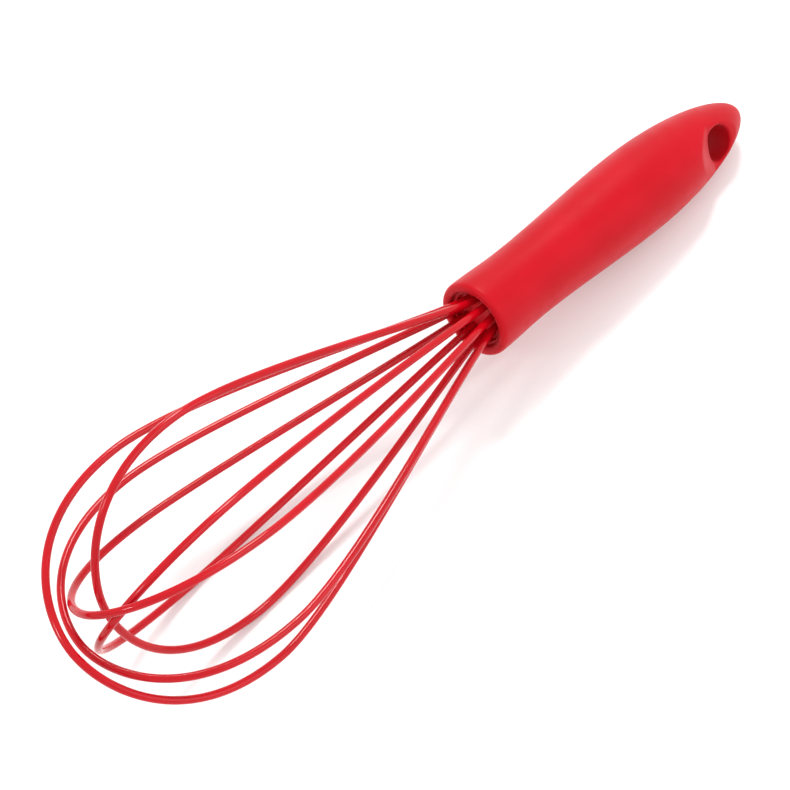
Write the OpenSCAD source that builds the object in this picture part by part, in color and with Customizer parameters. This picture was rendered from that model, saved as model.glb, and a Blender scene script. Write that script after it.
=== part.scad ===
// Balloon whisk lying on a worktop: five silicone-coated spring-steel loops in a silicone-covered handle.
// The whisk is drawn along its own axis first, handle towards +X and cage towards -X, with x = 0 at the
// handle's mouth. lay_down() then tips and rolls it so that it lies on z = 0 as it comes to rest.

/* [Handle] */
// Length of the handle from its mouth to its rounded end
handle_len = 132; // [120:1:145]
// Radius of the handle at its waist, just behind the lip
waist_r = 12.1; // [11.8:0.1:13]
// Distance of the waist from the mouth
waist_x = 22; // [16:1:28]
// Radius of the handle at its fullest point
belly_r = 14; // [13:0.1:16]
// Distance of the fullest point from the mouth
belly_x = 79; // [70:1:84]
// Radius of the rolled lip round the mouth
lip_r = 12.7; // [12.4:0.1:13]
// Thickness of the silicone skin over the core
skin_t = 1.6; // [1.2:0.1:1.8]

/* [Hanging hole] */
// Diameter of the hanging hole
hole_d = 12; // [10:0.5:14]
// Distance of the hole's axis from the mouth
hole_x = 112.5; // [110:0.5:114]
// Turn of the hole's axis about the handle, from the line that the loops' turns start at
hole_turn = 149; // [0:1:359]
// Half the thickness of the handle between the two flats at the hole
flat_half = 8; // [7:0.5:8.5]
// Slope of the ramp that leads down to each flat, in degrees
ramp_angle = 26.5; // [20:0.5:35]

/* [Wire plug] */
// Depth of the plug's face inside the mouth
plug_recess = 4; // [3:0.5:6]
// Thickness of the plug
plug_t = 14; // [10:1:18]
// Radius of the plug, and of the socket that it sits in
plug_r = 8.6; // [8.4:0.1:8.8]
// Radius of the circle that the ten wires stand on
ring_r = 6.2; // [5.8:0.1:6.6]
// Depth of the resin cast behind the plug
resin_t = 16; // [12:1:20]

/* [Wire loops] */
// Diameter of the bare spring-steel wire
wire_d = 1.4; // [1.2:0.1:1.6]
// Diameter of the wire with its silicone coat
coat_d = 2.4; // [2.2:0.1:2.6]
// Turn of the first loop about the axis, in degrees
first_turn = 174; // [0:1:359]
// How far each loop reaches out of the mouth
loop_len = [162.5, 168.5, 151, 158, 159]; // [145:0.5:175]
// Half-width of each loop on the side of its first leg
first_half = [36.5, 39.5, 38.5, 38, 31.5]; // [28:0.5:42]
// Half-width of each loop on the side of its second leg
second_half = [31.5, 34.5, 39, 26, 29]; // [26:0.5:42]
// Offset of each loop's end towards its first leg
end_offset = [2.5, 3, -2, 3.5, -0.5]; // [-9:0.5:9]
// Sideways lean of each loop out of its plane, at 100 mm from the mouth
lean = [2.5, 0, 2, -1.5, 1.5]; // [-8:0.5:8]
// Twist of each loop about the axis, in degrees, at 100 mm from the mouth
twist = [1.5, -4.5, -0.5, 0.5, -0.5]; // [-12:0.5:12]
// Place of a loop's fullest point, as a share of its length
full_share = 0.71; // [0.6:0.01:0.8]
// How much farther out the first leg is fullest, and how much nearer the second leg
full_shift = [0, 0, -4, -4, 0]; // [-6:0.5:6]

/* [Lying position] */
// How far the handle's end dips below level, in degrees
lie_tilt = 7.08; // [0:0.01:10]
// Roll about the whisk's own axis, in degrees
lie_roll = 2.83; // [-180:0.01:180]
// Height of the mouth's centre above the worktop
lie_height = 24.97; // [10:0.01:40]
// Shift along X that centres the whisk on the origin
centre_x = 18.77; // [-40:0.01:40]
// Shift along Y that centres the whisk on the origin
centre_y = 2.57; // [-20:0.01:20]

/* [Hidden] */
$fn = 72;

// The mouth's lip, in the half-section (distance from the mouth, radius)
lip_front_r = 11.1;                    // middle of the lip's rounded front
lip_round = lip_r - lip_front_r;       // radius of that rounding
mouth_r = lip_front_r - lip_round;     // the open mouth inside the lip
lip_blend = 7;                         // how softly the lip runs out to the waist

// The rigid core under the skin
core_front = 2.2;                      // its front face, behind the lip
core_nose = 0.23;                      // share of the handle's nose curve that it follows
core_bevel = 2;                        // bevel round its back end
core_pocket_r = 6.5;                   // hollow behind the resin, which saves weight
core_pocket_end = 88;
resin_back = plug_recess + plug_t + resin_t;

// The flats at the hanging hole
flat_lead = 4;                         // how far the flat starts ahead of the hole's axis
ramp_len = 18;                         // length of the ramp's cutter, which leaves the handle's surface
cutter_w = 60;                         // wider and longer than the handle's end

// Control lengths of the outline's curves
swell = 20;                            // level stretch before and after the rise to the belly
nose_full = 28;                        // level stretch behind the belly
nose_tip = 7.4;                        // bluntness of the rounded end

// The loops
loops = len(loop_len);
turn_step = 180 / loops;               // ten legs, evenly spaced round the plug
hole_clear = 0.02;                     // radial room round a coat in the plug
bare_end = 12;                         // bare wire that runs on into the resin
straight_len = 10;                     // first stretch outside the plug, before a leg flares
full_lead = 28;                        // how early a leg runs level before its fullest point
end_share = 0.77;                      // how long it stays level after it
crown_share = 0.36;                    // how flat the loop's end is, as a share of its half-width
leg_rings = 15;                        // rings from the plug to the fullest point
crown_rings = 13;                      // rings from there to the loop's end
sides = 8;                             // sides of a swept wire

// A point on a cubic curve with four control points
function bezier(p, t) = pow(1 - t, 3) * p[0] + 3 * t * pow(1 - t, 2) * p[1]
                      + 3 * t * t * (1 - t) * p[2] + pow(t, 3) * p[3];
// Steps "first" to "last" of n along such a curve
function curve(p, n, first, last) = [for (i = [first : last]) bezier(p, i / n)];
function unit(v) = v / norm(v);
function backwards(list) = [for (i = [len(list) - 1 : -1 : 0]) list[i]];
function lowered(list, d) = [for (p = list) p - [0, d]];

// ---- The handle's half-section, as (distance from the mouth, radius) ----
lip_curve = [[lip_round, lip_r], [lip_round + lip_blend, lip_r],
              [waist_x - lip_blend, waist_r], [waist_x, waist_r]];
rise_curve = [[waist_x, waist_r], [waist_x + swell, waist_r], [belly_x - swell, belly_r], [belly_x, belly_r]];
nose_curve = [[belly_x, belly_r], [belly_x + nose_full, belly_r], [handle_len, nose_tip], [handle_len, 0]];
// Rounded front of the lip, from inside the mouth to the outside
lip_front = [for (a = [180 : -15 : 15]) [lip_round * (1 - sin(a)), lip_front_r + lip_round * cos(a)]];
skin_outline = concat(lip_front, curve(lip_curve, 6, 0, 5), curve(rise_curve, 14, 0, 13),
    curve(nose_curve, 22, 0, 22));
core_outline = lowered(concat([[core_front, lip_r]], curve(lip_curve, 6, 1, 5), curve(rise_curve, 14, 0, 13),
    curve([for (k = [0 : 3]) nose_part(k)], 5, 0, 5)), skin_t);
core_end = core_outline[len(core_outline) - 1];
core_back = [core_end, core_end + [core_bevel, -core_bevel], [core_end[0] + core_bevel, 0]];
// Control point k of the first stretch of the nose curve, which the core follows
function nose_part(k) =
    k == 0 ? nose_curve[0]
    : k == 1 ? nose_curve[0] + core_nose * (nose_curve[1] - nose_curve[0])
    : k == 2 ? pow(1 - core_nose, 2) * nose_curve[0] + 2 * core_nose * (1 - core_nose) * nose_curve[1]
        + core_nose * core_nose * nose_curve[2]
    : bezier(nose_curve, core_nose);

// Turns such a half-section about the whisk's axis
module turned(section) {
    rotate([0, 90, 0]) rotate_extrude() polygon([for (p = section) [p[1], p[0]]]);
}
// A rod along the axis from x0 to x1
module rod(x0, x1, r) {
    translate([x0, 0, 0]) rotate([0, 90, 0]) cylinder(h = x1 - x0, r = r);
}
// Repeats its children at all ten wire places
module at_wires() {
    for (i = [0 : 2 * loops - 1])
        rotate([first_turn + turn_step * i, 0, 0]) translate([0, ring_r, 0]) children();
}
// Tips and rolls the whisk on to the worktop
module lay_down() {
    translate([centre_x, centre_y, lie_height]) rotate([0, lie_tilt, 0]) rotate([lie_roll, 0, 0]) children();
}

// ---- Handle ----
// Removes what stands above the flat at the hanging hole, on one side
module flat_cutter() {
    start = hole_x - flat_lead;
    linear_extrude(height = cutter_w, center = true)
        polygon([[start, flat_half], [handle_len + 1, flat_half], [handle_len + 1, cutter_w / 2],
                 [start - ramp_len, cutter_w / 2],
                 [start - ramp_len, flat_half + ramp_len * tan(ramp_angle)]]);
}
// Soft silicone skin, moulded over the core and solid behind it
module grip_sleeve() {
    color("crimson") lay_down() difference() {
        turned(concat([[core_back[2][0], 0], core_back[1]], backwards(core_outline), [[core_front, mouth_r]],
            skin_outline));
        rotate([hole_turn, 0, 0]) {
            flat_cutter();
            mirror([0, 1, 0]) flat_cutter();
            translate([hole_x, 0, 0]) rotate([90, 0, 0]) cylinder(h = cutter_w, d = hole_d, center = true);
        }
    }
}
// Rigid core: a socket for the plug and the resin, then a hollow pocket, closed at the back
module handle_core() {
    color("firebrick") lay_down() turned(concat(core_outline, [core_back[1], core_back[2]],
        [[core_pocket_end, 0], [core_pocket_end, core_pocket_r], [resin_back, core_pocket_r],
         [resin_back, plug_r], [core_front, plug_r]]));
}

// ---- Wire plug and resin ----
// Disc with ten holes that spaces the wires, a little way inside the mouth
module wire_plug() {
    color("firebrick") lay_down() difference() {
        rod(plug_recess, plug_recess + plug_t, plug_r);
        at_wires() rod(0, plug_recess + plug_t + 1, coat_d / 2 + hole_clear);
    }
}
// Resin cast round the bare wire ends
module potting_resin() {
    color("khaki") lay_down() difference() {
        rod(plug_recess + plug_t, resin_back, plug_r);
        at_wires() rod(plug_recess, plug_recess + plug_t + bare_end, wire_d / 2);
    }
}

// ---- Wire loops ----
// One leg of a loop, from the plug to the loop's end, as (distance out of the mouth, distance from the axis).
// It is fullest at the distance "full", where it stands "half" from the axis.
function leg(len, half, full, offset) = concat(
    curve([[-plug_recess, ring_r], [straight_len - plug_recess, ring_r],
           [full - full_lead, half], [full, half]], leg_rings, 0, leg_rings - 1),
    curve([[full, half], [full + end_share * (len - full), half],
           [len, offset + crown_share * half], [len, offset]], crown_rings, 0, crown_rings));
function first_leg(i) =
    leg(loop_len[i], first_half[i], full_share * loop_len[i] + full_shift[i], end_offset[i]);
function second_leg(i) =
    leg(loop_len[i], second_half[i], full_share * loop_len[i] - full_shift[i], -end_offset[i]);
// The whole loop, flat, from one leg to the other; the two legs share the point at the loop's end
function flat_loop(i) =
    let (back = second_leg(i))
    concat(first_leg(i), [for (k = [len(back) - 2 : -1 : 0]) [back[k][0], -back[k][1]]]);
// A point of loop i in space: leaned and twisted more and more with its distance from the mouth
function in_space(i, q) =
    let (far = pow(max(q[0], 0) / 100, 2), side = lean[i] * far,
         a = first_turn + turn_step * i + twist[i] * far)
    [-q[0], q[1] * cos(a) - side * sin(a), q[1] * sin(a) + side * cos(a)];
// The centre line of loop i, with a straight tail of the given length at both ends
function centre_line(i, tail) =
    let (q = flat_loop(i), ends = [[-plug_recess - tail, ring_r], [-plug_recess - tail, -ring_r]])
    [for (p = concat([ends[0]], q, [ends[1]])) in_space(i, p)];

// ---- Sweeping a wire along its centre line ----
// Direction of the line at point k
function heading(line, k) = unit(line[min(k + 1, len(line) - 1)] - line[max(k - 1, 0)]);
// The ring of corners round point k; "up" is any direction that is never along the line
function ring(line, k, r, up) =
    let (t = heading(line, k), n = unit(up - (up * t) * t), m = cross(t, n))
    [for (a = [0 : sides - 1]) line[k] + r * (cos(360 * a / sides) * n + sin(360 * a / sides) * m)];
function rings(line, r, up) = [for (k = [0 : len(line) - 1]) each ring(line, k, r, up)];
// Triangles of the side wall between n rings that start at corner "first"; "inward" turns them over
function wall(n, first = 0, inward = false) = [
    for (k = [0 : n - 2], a = [0 : sides - 1])
        let (p = first + k * sides + a, q = first + k * sides + (a + 1) % sides)
        each inward ? [[p, q, q + sides], [p, q + sides, p + sides]]
                    : [[p, p + sides, q + sides], [p, q + sides, q]]];
// Triangles of a flat rim between an outer and an inner ring
function rim(outer, inner, far) = [
    for (a = [0 : sides - 1])
        let (b = (a + 1) % sides)
        each far ? [[outer + b, outer + a, inner + a], [outer + b, inner + a, inner + b]]
                 : [[outer + a, outer + b, inner + b], [outer + a, inner + b, inner + a]]];
module solid_wire(line, r, up) {
    n = len(line);
    polyhedron(rings(line, r, up), concat(
        [[for (a = [0 : sides - 1]) a]], wall(n), [[for (a = [sides - 1 : -1 : 0]) (n - 1) * sides + a]]),
        convexity = 4);
}
module hollow_wire(line, r, bore_r, up) {
    n = len(line);
    size = n * sides;
    polyhedron(concat(rings(line, r, up), rings(line, bore_r, up)), concat(
        wall(n), wall(n, size, true), rim(0, size, false), rim(size - sides, 2 * size - sides, true)),
        convexity = 6);
}
// The direction square to loop i's plane
function square_to(i) = [0, -sin(first_turn + turn_step * i), cos(first_turn + turn_step * i)];

// Spring-steel wire of loop i: runs through its coat and on into the resin at both ends
module wire_core(i) {
    line = centre_line(i, plug_t);
    tail = [bare_end, 0, 0];
    color("silver") lay_down()
        solid_wire(concat([line[0] + tail], line, [line[len(line) - 1] + tail]), wire_d / 2, square_to(i));
}
// Silicone coat of loop i, from the back of the plug round to the back of the plug
module wire_coat(i) {
    color("red") lay_down() hollow_wire(centre_line(i, plug_t), coat_d / 2, wire_d / 2, square_to(i));
}

grip_sleeve();
handle_core();
wire_plug();
potting_resin();
wire_core(0);  // wire_core_1
wire_core(1);  // wire_core_2
wire_core(2);  // wire_core_3
wire_core(3);  // wire_core_4
wire_core(4);  // wire_core_5
wire_coat(0);  // wire_coat_1
wire_coat(1);  // wire_coat_2
wire_coat(2);  // wire_coat_3
wire_coat(3);  // wire_coat_4
wire_coat(4);  // wire_coat_5
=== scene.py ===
"""Looks of a balloon whisk that lies on a pale worktop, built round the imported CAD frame.

The coats and the grip sleeve are rebuilt as fine, rounded meshes in the places of their CAD nodes.
The plug, the resin, the core and the steel wires keep their CAD meshes and get procedural materials.
"""
import math

import bpy
from mathutils import Matrix, Vector


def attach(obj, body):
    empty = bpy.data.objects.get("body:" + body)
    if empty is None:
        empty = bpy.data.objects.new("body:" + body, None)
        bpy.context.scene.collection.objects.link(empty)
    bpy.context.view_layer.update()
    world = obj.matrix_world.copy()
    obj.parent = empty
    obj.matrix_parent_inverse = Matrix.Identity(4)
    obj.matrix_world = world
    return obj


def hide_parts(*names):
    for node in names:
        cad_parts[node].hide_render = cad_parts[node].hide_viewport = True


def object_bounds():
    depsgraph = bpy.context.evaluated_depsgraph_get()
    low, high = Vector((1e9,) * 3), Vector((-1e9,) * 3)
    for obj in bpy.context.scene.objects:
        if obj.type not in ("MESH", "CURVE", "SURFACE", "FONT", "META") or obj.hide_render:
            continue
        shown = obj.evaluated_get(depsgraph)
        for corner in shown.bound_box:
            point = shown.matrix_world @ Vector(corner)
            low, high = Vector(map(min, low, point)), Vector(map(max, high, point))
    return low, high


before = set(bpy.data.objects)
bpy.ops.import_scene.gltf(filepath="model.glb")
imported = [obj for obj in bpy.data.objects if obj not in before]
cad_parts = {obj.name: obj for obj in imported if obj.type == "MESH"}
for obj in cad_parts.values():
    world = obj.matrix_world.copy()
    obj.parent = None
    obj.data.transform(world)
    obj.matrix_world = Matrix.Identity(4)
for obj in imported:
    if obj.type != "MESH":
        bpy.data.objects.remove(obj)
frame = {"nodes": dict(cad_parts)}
cad_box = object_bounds()

MM = 0.001

# ---- Dimensions that the part's design fixes, in millimetres and degrees ----
HANDLE_LEN = 132
WAIST_R, WAIST_X = 12.1, 22
BELLY_R, BELLY_X = 14, 79
LIP_R, LIP_FRONT_R, LIP_BLEND = 12.7, 11.1, 7
SWELL, NOSE_FULL, NOSE_TIP = 20, 28, 7.4
SKIN_T = 1.6
CORE_FRONT, CORE_NOSE, CORE_BEVEL = 2.2, 0.23, 2

HOLE_D, HOLE_X, HOLE_TURN = 12, 112.5, 149
FLAT_HALF, FLAT_LEAD = 8, 4
RAMP_ANGLE, RAMP_LEN = 26.5, 18
CUTTER_W = 60

PLUG_RECESS, PLUG_T, RING_R = 4, 14, 6.2
WIRE_D, COAT_D = 1.4, 2.4
FIRST_TURN, TURN_STEP = 174, 36
LOOP_LEN = [162.5, 168.5, 151, 158, 159]
FIRST_HALF = [36.5, 39.5, 38.5, 38, 31.5]
SECOND_HALF = [31.5, 34.5, 39, 26, 29]
END_OFFSET = [2.5, 3, -2, 3.5, -0.5]
LEAN = [2.5, 0, 2, -1.5, 1.5]
TWIST = [1.5, -4.5, -0.5, 0.5, -0.5]
FULL_SHARE, FULL_SHIFT = 0.71, [0, 0, -4, -4, 0]
STRAIGHT_LEN, FULL_LEAD, END_SHARE, CROWN_SHARE = 10, 28, 0.77, 0.36

LIE_TILT, LIE_ROLL = 7.08, 2.83
LIE_HEIGHT, CENTRE_X, CENTRE_Y = 24.97, 18.77, 2.57

# The whisk's own axis, tipped and rolled on to the worktop
LAY_DOWN = (
    Matrix.Translation(Vector((CENTRE_X, CENTRE_Y, LIE_HEIGHT)) * MM)
    @ Matrix.Rotation(math.radians(LIE_TILT), 4, "Y")
    @ Matrix.Rotation(math.radians(LIE_ROLL), 4, "X")
)

# ---- Fineness of the rebuilt meshes ----
LIP_STEPS, BLEND_STEPS, RISE_STEPS, NOSE_STEPS = 24, 20, 50, 90
HOLE_SIDES = 96
COAT_SIDES = 24
LEG_RINGS, CROWN_RINGS = 48, 44
LATHE_SIDES = 160
SKIN_VOXEL = 0.45 * MM
SKIN_SMOOTHING = 9

# ---- Camera: above the whisk, with a long lens; degrees, metres, and millimetres for the lens ----
CAMERA_AZIMUTH, CAMERA_ELEVATION, CAMERA_ROLL = -49.33, 55.74, 1.69
CAMERA_DISTANCE = 0.8325
CAMERA_AIM = Vector((-0.01436, 0.00397, 0.020))
CAMERA_LENS, SENSOR_WIDTH = 127.6, 36

# ---- Looks: noise scales in waves per metre, depths in metres ----
PATCH_SCALE, SMEAR_SCALE, DRAW_SCALE, WORKTOP_SCALE = 55, 160, 900, 8
NOISE_LOW, NOISE_HIGH = 0.35, 0.65
GRAIN_DEPTH, DRAW_DEPTH = 0.0001, 0.00005
WORLD_STRENGTH = 0.95
WORKTOP_HALF = 3.0


# ---------------------------------------------------------------- geometry helpers
def bezier(p, t):
    """A point on a cubic curve with four control points."""
    u = 1 - t
    return tuple(
        u**3 * a + 3 * t * u * u * b + 3 * t * t * u * c + t**3 * d for a, b, c, d in zip(*p)
    )


def curve(p, n):
    """n steps along such a curve, without its last point."""
    return [bezier(p, k / n) for k in range(n)]


def mesh_object(name, verts, faces):
    mesh = bpy.data.meshes.new(name)
    mesh.from_pydata([tuple(v) for v in verts], [], faces)
    mesh.update()
    obj = bpy.data.objects.new(name, mesh)
    bpy.context.scene.collection.objects.link(obj)
    return obj


def smooth(obj):
    for face in obj.data.polygons:
        face.use_smooth = True


def apply_modifiers(obj):
    """Bakes the modifiers into the object's mesh."""
    graph = bpy.context.evaluated_depsgraph_get()
    mesh = bpy.data.meshes.new_from_object(obj.evaluated_get(graph))
    obj.modifiers.clear()
    old = obj.data
    obj.data = mesh
    bpy.data.meshes.remove(old)


# ---------------------------------------------------------------- wire coats
def leg(i, half, shift, end):
    """One leg of loop i, from the plug to the loop's end.

    Each point is (distance out of the mouth, distance from the axis).
    """
    reach = LOOP_LEN[i]
    full = FULL_SHARE * reach + shift
    flare = [
        (-PLUG_RECESS, RING_R),
        (STRAIGHT_LEN - PLUG_RECESS, RING_R),
        (full - FULL_LEAD, half),
        (full, half),
    ]
    crown = [
        (full, half),
        (full + END_SHARE * (reach - full), half),
        (reach, end + CROWN_SHARE * half),
        (reach, end),
    ]
    return curve(flare, LEG_RINGS) + curve(crown, CROWN_RINGS) + [crown[3]]


def in_space(i, out, off):
    """A point of loop i in space: leaned and twisted more and more with its distance from the mouth."""
    far = (max(out, 0) / 100) ** 2
    turn = math.radians(FIRST_TURN + TURN_STEP * i + TWIST[i] * far)
    side = LEAN[i] * far
    return Vector((
        -out,
        off * math.cos(turn) - side * math.sin(turn),
        off * math.sin(turn) + side * math.cos(turn),
    ))


def centre_line(i):
    """Loop i from the back of the plug round to the back of the plug."""
    first = leg(i, FIRST_HALF[i], FULL_SHIFT[i], END_OFFSET[i])
    second = leg(i, SECOND_HALF[i], -FULL_SHIFT[i], -END_OFFSET[i])
    flat = first + [(out, -off) for out, off in reversed(second[:-1])]
    tail = -PLUG_RECESS - PLUG_T
    flat = [(tail, RING_R)] + flat + [(tail, -RING_R)]
    return [in_space(i, out, off) for out, off in flat]


def tube_ring(line, k, radius, up):
    ahead = (line[min(k + 1, len(line) - 1)] - line[max(k - 1, 0)]).normalized()
    across = (up - up.dot(ahead) * ahead).normalized()
    third = ahead.cross(across)
    angles = [2 * math.pi * a / COAT_SIDES for a in range(COAT_SIDES)]
    return [line[k] + radius * (math.cos(a) * across + math.sin(a) * third) for a in angles]


def tube_wall(rings, start, inward):
    faces = []
    for k in range(rings - 1):
        for a in range(COAT_SIDES):
            p = start + k * COAT_SIDES + a
            q = start + k * COAT_SIDES + (a + 1) % COAT_SIDES
            quad = (p, p + COAT_SIDES, q + COAT_SIDES, q)
            faces.append(quad if not inward else quad[::-1])
    return faces


def wire_coat(i):
    """The round silicone coat of loop i, hollow for its steel wire."""
    line = centre_line(i)
    turn = math.radians(FIRST_TURN + TURN_STEP * i)
    up = Vector((0, -math.sin(turn), math.cos(turn)))
    verts = []
    for radius in (COAT_D / 2, WIRE_D / 2):
        for k in range(len(line)):
            verts += tube_ring(line, k, radius, up)
    size = len(line) * COAT_SIDES
    faces = tube_wall(len(line), 0, False) + tube_wall(len(line), size, True)
    for a in range(COAT_SIDES):
        b = (a + 1) % COAT_SIDES
        far = size - COAT_SIDES
        faces.append((a, b, size + b, size + a))
        faces.append((far + b, far + a, size + far + a, size + far + b))
    obj = mesh_object(f"coat_loop_{i + 1}", [LAY_DOWN @ (v * MM) for v in verts], faces)
    smooth(obj)
    return obj


# ---------------------------------------------------------------- grip sleeve
def handle_outline():
    """The handle's outside from the lip to the rounded end, as (distance from the mouth, radius)."""
    lip_round = LIP_R - LIP_FRONT_R
    lip = [
        (lip_round * (1 - math.sin(a)), LIP_FRONT_R + lip_round * math.cos(a))
        for a in [math.radians(180 - 180 / LIP_STEPS * k) for k in range(LIP_STEPS)]
    ]
    blend = [
        (lip_round, LIP_R),
        (lip_round + LIP_BLEND, LIP_R),
        (WAIST_X - LIP_BLEND, WAIST_R),
        (WAIST_X, WAIST_R),
    ]
    rise = [(WAIST_X, WAIST_R), (WAIST_X + SWELL, WAIST_R), (BELLY_X - SWELL, BELLY_R), (BELLY_X, BELLY_R)]
    nose = [(BELLY_X, BELLY_R), (BELLY_X + NOSE_FULL, BELLY_R), (HANDLE_LEN, NOSE_TIP), (HANDLE_LEN, 0)]
    return lip, curve(blend, BLEND_STEPS), curve(rise, RISE_STEPS), curve(nose, NOSE_STEPS) + [nose[3]]


def core_outline(blend, rise, nose):
    """The inside of the skin, where it lies on the core: the outline lowered by the skin's thickness."""
    part = [point for k, point in enumerate(nose) if k <= CORE_NOSE * (len(nose) - 1)]
    inner = [(x, r - SKIN_T) for x, r in blend + rise + part if x > CORE_FRONT]
    end_x, end_r = inner[-1]
    back = [(end_x + CORE_BEVEL, end_r - CORE_BEVEL), (end_x + CORE_BEVEL, 0)]
    return [(CORE_FRONT, LIP_R - SKIN_T)] + inner + back


def lathe(name, outline):
    """Turns an outline that starts and ends on the axis about the whisk's axis."""
    verts = [Vector((outline[0][0], 0, 0)), Vector((outline[-1][0], 0, 0))]
    rings = outline[1:-1]
    for x, r in rings:
        for k in range(LATHE_SIDES):
            a = 2 * math.pi * k / LATHE_SIDES
            verts.append(Vector((x, r * math.cos(a), r * math.sin(a))))
    faces = []
    last = 2 + (len(rings) - 1) * LATHE_SIDES
    for k in range(LATHE_SIDES):
        b = (k + 1) % LATHE_SIDES
        faces.append((0, 2 + k, 2 + b))
        faces.append((1, last + b, last + k))
        for j in range(len(rings) - 1):
            p = 2 + j * LATHE_SIDES
            faces.append((p + k, p + LATHE_SIDES + k, p + LATHE_SIDES + b, p + b))
    return mesh_object(name, [v * MM for v in verts], faces)


def prism(name, outline, half_width):
    """A straight block with the given outline in X and Y, along Z."""
    n = len(outline)
    verts = [Vector((x, y, z)) * MM for z in (-half_width, half_width) for x, y in outline]
    faces = [tuple(reversed(range(n))), tuple(range(n, 2 * n))]
    faces += [(k, (k + 1) % n, n + (k + 1) % n, n + k) for k in range(n)]
    return mesh_object(name, verts, faces)


def flat_cutter(side):
    """What stands above the flat at the hanging hole, on one side (+1 or -1)."""
    start = HOLE_X - FLAT_LEAD
    top = FLAT_HALF + RAMP_LEN * math.tan(math.radians(RAMP_ANGLE))
    outline = [
        (start, FLAT_HALF),
        (HANDLE_LEN + 1, FLAT_HALF),
        (HANDLE_LEN + 1, CUTTER_W / 2),
        (start - RAMP_LEN, CUTTER_W / 2),
        (start - RAMP_LEN, top),
    ]
    if side < 0:
        outline = [(x, -y) for x, y in reversed(outline)]
    return prism("flat_cutter", outline, CUTTER_W / 2)


def hole_cutter():
    corners = [2 * math.pi * k / HOLE_SIDES for k in range(HOLE_SIDES)]
    outline = [(HOLE_X + HOLE_D / 2 * math.cos(a), HOLE_D / 2 * math.sin(a)) for a in corners]
    obj = prism("hole_cutter", outline, CUTTER_W / 2)
    obj.data.transform(Matrix.Rotation(math.radians(90), 4, "X"))
    return obj


def grip_skin():
    """The soft skin with its scoops and its hanging hole, its edges rounded by a fine remesh and smoothing."""
    lip, blend, rise, nose = handle_outline()
    inside = core_outline(blend, rise, nose)
    mouth_r = lip[0][1]
    outline = list(reversed(inside)) + [(CORE_FRONT, mouth_r)] + lip[1:] + blend[1:] + rise + nose
    skin = lathe("grip_skin", outline)
    cutters = [flat_cutter(1), flat_cutter(-1), hole_cutter()]
    turn = Matrix.Rotation(math.radians(HOLE_TURN), 4, "X")
    for cutter in cutters:
        cutter.data.transform(turn)
        cut = skin.modifiers.new("cut", "BOOLEAN")
        cut.operation = "DIFFERENCE"
        cut.solver = "EXACT"
        cut.object = cutter
    apply_modifiers(skin)
    for cutter in cutters:
        bpy.data.objects.remove(cutter)
    remesh = skin.modifiers.new("remesh", "REMESH")
    remesh.mode = "VOXEL"
    remesh.voxel_size = SKIN_VOXEL
    soften = skin.modifiers.new("soften", "SMOOTH")
    soften.factor = 0.5
    soften.iterations = SKIN_SMOOTHING
    apply_modifiers(skin)
    skin.data.transform(LAY_DOWN)
    smooth(skin)
    return skin


# ---------------------------------------------------------------- materials
def new_material(name):
    material = bpy.data.materials.new(name)
    material.use_nodes = True
    nodes = material.node_tree.nodes
    return material, nodes, material.node_tree.links, nodes["Principled BSDF"]


def noise(nodes, links, scale, detail, stretch=(1, 1, 1)):
    """A noise in the object's own coordinates."""
    place = nodes.new("ShaderNodeTexCoord")
    mapping = nodes.new("ShaderNodeMapping")
    mapping.inputs["Scale"].default_value = stretch
    texture = nodes.new("ShaderNodeTexNoise")
    texture.inputs["Scale"].default_value = scale
    texture.inputs["Detail"].default_value = detail
    links.new(place.outputs["Object"], mapping.inputs["Vector"])
    links.new(mapping.outputs["Vector"], texture.inputs["Vector"])
    return texture.outputs["Fac"]


def spread(nodes, links, source, low, high):
    """The noise's middle range stretched to low..high."""
    ranged = nodes.new("ShaderNodeMapRange")
    ranged.inputs["From Min"].default_value = NOISE_LOW
    ranged.inputs["From Max"].default_value = NOISE_HIGH
    ranged.inputs["To Min"].default_value = low
    ranged.inputs["To Max"].default_value = high
    links.new(source, ranged.inputs["Value"])
    return ranged.outputs["Result"]


def moulded(name, dark, light, rough, grain, bump, **settings):
    """A moulded or cast material: two close colours, patchy roughness and a fine surface grain."""
    material, nodes, links, shader = new_material(name)
    patches = noise(nodes, links, PATCH_SCALE, 3)
    ramp = nodes.new("ShaderNodeValToRGB")
    ramp.color_ramp.elements[0].position = NOISE_LOW
    ramp.color_ramp.elements[1].position = NOISE_HIGH
    ramp.color_ramp.elements[0].color = (*dark, 1)
    ramp.color_ramp.elements[1].color = (*light, 1)
    links.new(patches, ramp.inputs["Fac"])
    links.new(ramp.outputs["Color"], shader.inputs["Base Color"])
    smears = noise(nodes, links, SMEAR_SCALE, 4)
    links.new(spread(nodes, links, smears, *rough), shader.inputs["Roughness"])
    relief = nodes.new("ShaderNodeBump")
    relief.inputs["Strength"].default_value = bump
    relief.inputs["Distance"].default_value = GRAIN_DEPTH
    links.new(noise(nodes, links, grain, 2), relief.inputs["Height"])
    links.new(relief.outputs["Normal"], shader.inputs["Normal"])
    for socket, value in settings.items():
        shader.inputs[socket.replace("_", " ")].default_value = value
    return material


def grip_silicone():
    return moulded(
        "grip_silicone", (0.46, 0.0016, 0.008), (0.50, 0.0024, 0.011), (0.40, 0.50), 3200, 0.12,
        Sheen_Weight=0.04, Sheen_Roughness=0.4, Specular_IOR_Level=0.12,
    )


def coat_silicone():
    return moulded(
        "coat_silicone", (0.45, 0.0012, 0.006), (0.51, 0.0018, 0.009), (0.10, 0.16), 1400, 0.02,
        Specular_IOR_Level=0.28,
    )


def plug_silicone():
    return moulded(
        "plug_silicone", (0.50, 0.002, 0.008), (0.56, 0.003, 0.012), (0.40, 0.55), 1800, 0.15,
        Specular_IOR_Level=0.2,
    )


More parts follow.
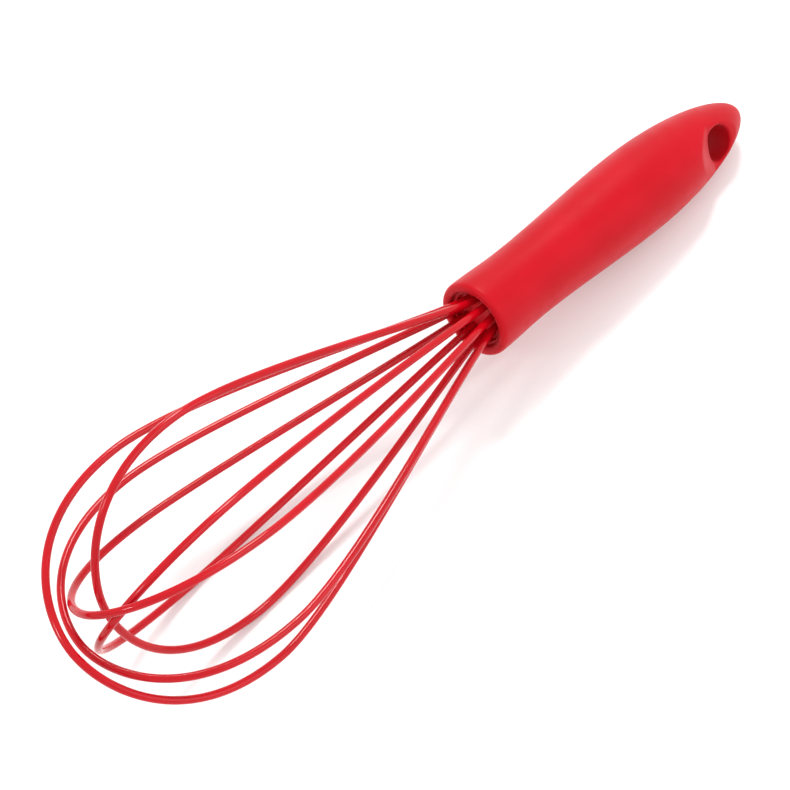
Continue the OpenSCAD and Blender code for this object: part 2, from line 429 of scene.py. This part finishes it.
def core_plastic():
    return moulded(
        "core_plastic", (0.42, 0.002, 0.008), (0.48, 0.003, 0.012), (0.45, 0.60), 1500, 0.2,
        Specular_IOR_Level=0.2,
    )


def cast_resin():
    return moulded(
        "cast_resin", (0.42, 0.30, 0.12), (0.52, 0.39, 0.17), (0.12, 0.25), 500, 0.1,
        Coat_Weight=0.4, Coat_Roughness=0.08,
    )


def drawn_steel():
    """Bright spring wire with fine draw marks along its length."""
    material, nodes, links, shader = new_material("drawn_steel")
    shader.inputs["Metallic"].default_value = 1.0
    shader.inputs["Base Color"].default_value = (0.58, 0.58, 0.60, 1)
    marks = noise(nodes, links, DRAW_SCALE, 4, stretch=(0.05, 1, 1))
    links.new(spread(nodes, links, marks, 0.22, 0.40), shader.inputs["Roughness"])
    relief = nodes.new("ShaderNodeBump")
    relief.inputs["Strength"].default_value = 0.1
    relief.inputs["Distance"].default_value = DRAW_DEPTH
    links.new(marks, relief.inputs["Height"])
    links.new(relief.outputs["Normal"], shader.inputs["Normal"])
    return material


def worktop():
    material, nodes, links, shader = new_material("worktop")
    ramp = nodes.new("ShaderNodeValToRGB")
    ramp.color_ramp.elements[0].color = (0.90, 0.90, 0.90, 1)
    ramp.color_ramp.elements[1].color = (0.93, 0.93, 0.93, 1)
    links.new(noise(nodes, links, WORKTOP_SCALE, 3), ramp.inputs["Fac"])
    links.new(ramp.outputs["Color"], shader.inputs["Base Color"])
    shader.inputs["Roughness"].default_value = 0.7
    shader.inputs["Specular IOR Level"].default_value = 0.2
    return material


def dress(obj, material):
    """Gives a piece or a CAD node one material."""
    if obj.type == "MESH" and not obj.data.materials:
        obj.data.materials.append(material)
    for material_slot in obj.material_slots:
        material_slot.material = material


# ---------------------------------------------------------------- pieces
def build_coats():
    material = coat_silicone()
    for i in range(len(LOOP_LEN)):
        coat = wire_coat(i)
        dress(coat, material)
        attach(coat, "root")
        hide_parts(f"wire_coat_{i + 1}")


def build_grip():
    skin = grip_skin()
    dress(skin, grip_silicone())
    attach(skin, "root")
    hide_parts("grip_sleeve")


def dress_frame():
    nodes = frame["nodes"]
    dress(nodes["wire_plug"], plug_silicone())
    dress(nodes["handle_core"], core_plastic())
    dress(nodes["potting_resin"], cast_resin())
    steel = drawn_steel()
    for i in range(len(LOOP_LEN)):
        dress(nodes[f"wire_core_{i + 1}"], steel)


# ---------------------------------------------------------------- stage, light and camera
def build_stage():
    low = cad_box[0][2]
    half = WORKTOP_HALF
    corners = [(-half, -half, low), (half, -half, low), (half, half, low), (-half, half, low)]
    floor = mesh_object("worktop", corners, [(0, 1, 2, 3)])
    dress(floor, worktop())


def area_light(name, place, size, power):
    light = bpy.data.lights.new(name, "AREA")
    light.shape = "DISK"
    light.size = size
    light.energy = power
    obj = bpy.data.objects.new(name, light)
    obj.location = place
    obj.rotation_euler = (-Vector(place)).to_track_quat("-Z", "Y").to_euler()
    bpy.context.scene.collection.objects.link(obj)


def build_light():
    world = bpy.data.worlds.new("studio")
    world.use_nodes = True
    background = world.node_tree.nodes["Background"]
    background.inputs["Color"].default_value = (1, 1, 1, 1)
    background.inputs["Strength"].default_value = WORLD_STRENGTH
    bpy.context.scene.world = world
    area_light("key", (0.58, 0.55, 1.08), 0.30, 8)
    area_light("fill", (0.35, -0.95, 0.85), 1.2, 5)
    area_light("lip_glint", (-0.90, 0.25, 0.75), 0.20, 2.5)


def build_camera():
    camera = bpy.data.cameras.new("camera")
    camera.lens = CAMERA_LENS
    camera.sensor_width = SENSOR_WIDTH
    camera.clip_start = 0.01
    obj = bpy.data.objects.new("camera", camera)
    azimuth = math.radians(CAMERA_AZIMUTH)
    rise = math.radians(CAMERA_ELEVATION)
    ahead = Vector((
        -math.sin(azimuth) * math.cos(rise),
        math.cos(azimuth) * math.cos(rise),
        -math.sin(rise),
    ))
    turn = ahead.to_track_quat("-Z", "Y").to_matrix().to_4x4()
    place = Matrix.Translation(CAMERA_AIM - CAMERA_DISTANCE * ahead)
    obj.matrix_world = place @ turn @ Matrix.Rotation(math.radians(CAMERA_ROLL), 4, "Z")
    bpy.context.scene.collection.objects.link(obj)
    bpy.context.scene.camera = obj


build_coats()
build_grip()
dress_frame()
build_stage()
build_light()
build_camera()
bpy.context.scene.view_settings.view_transform = "Standard"
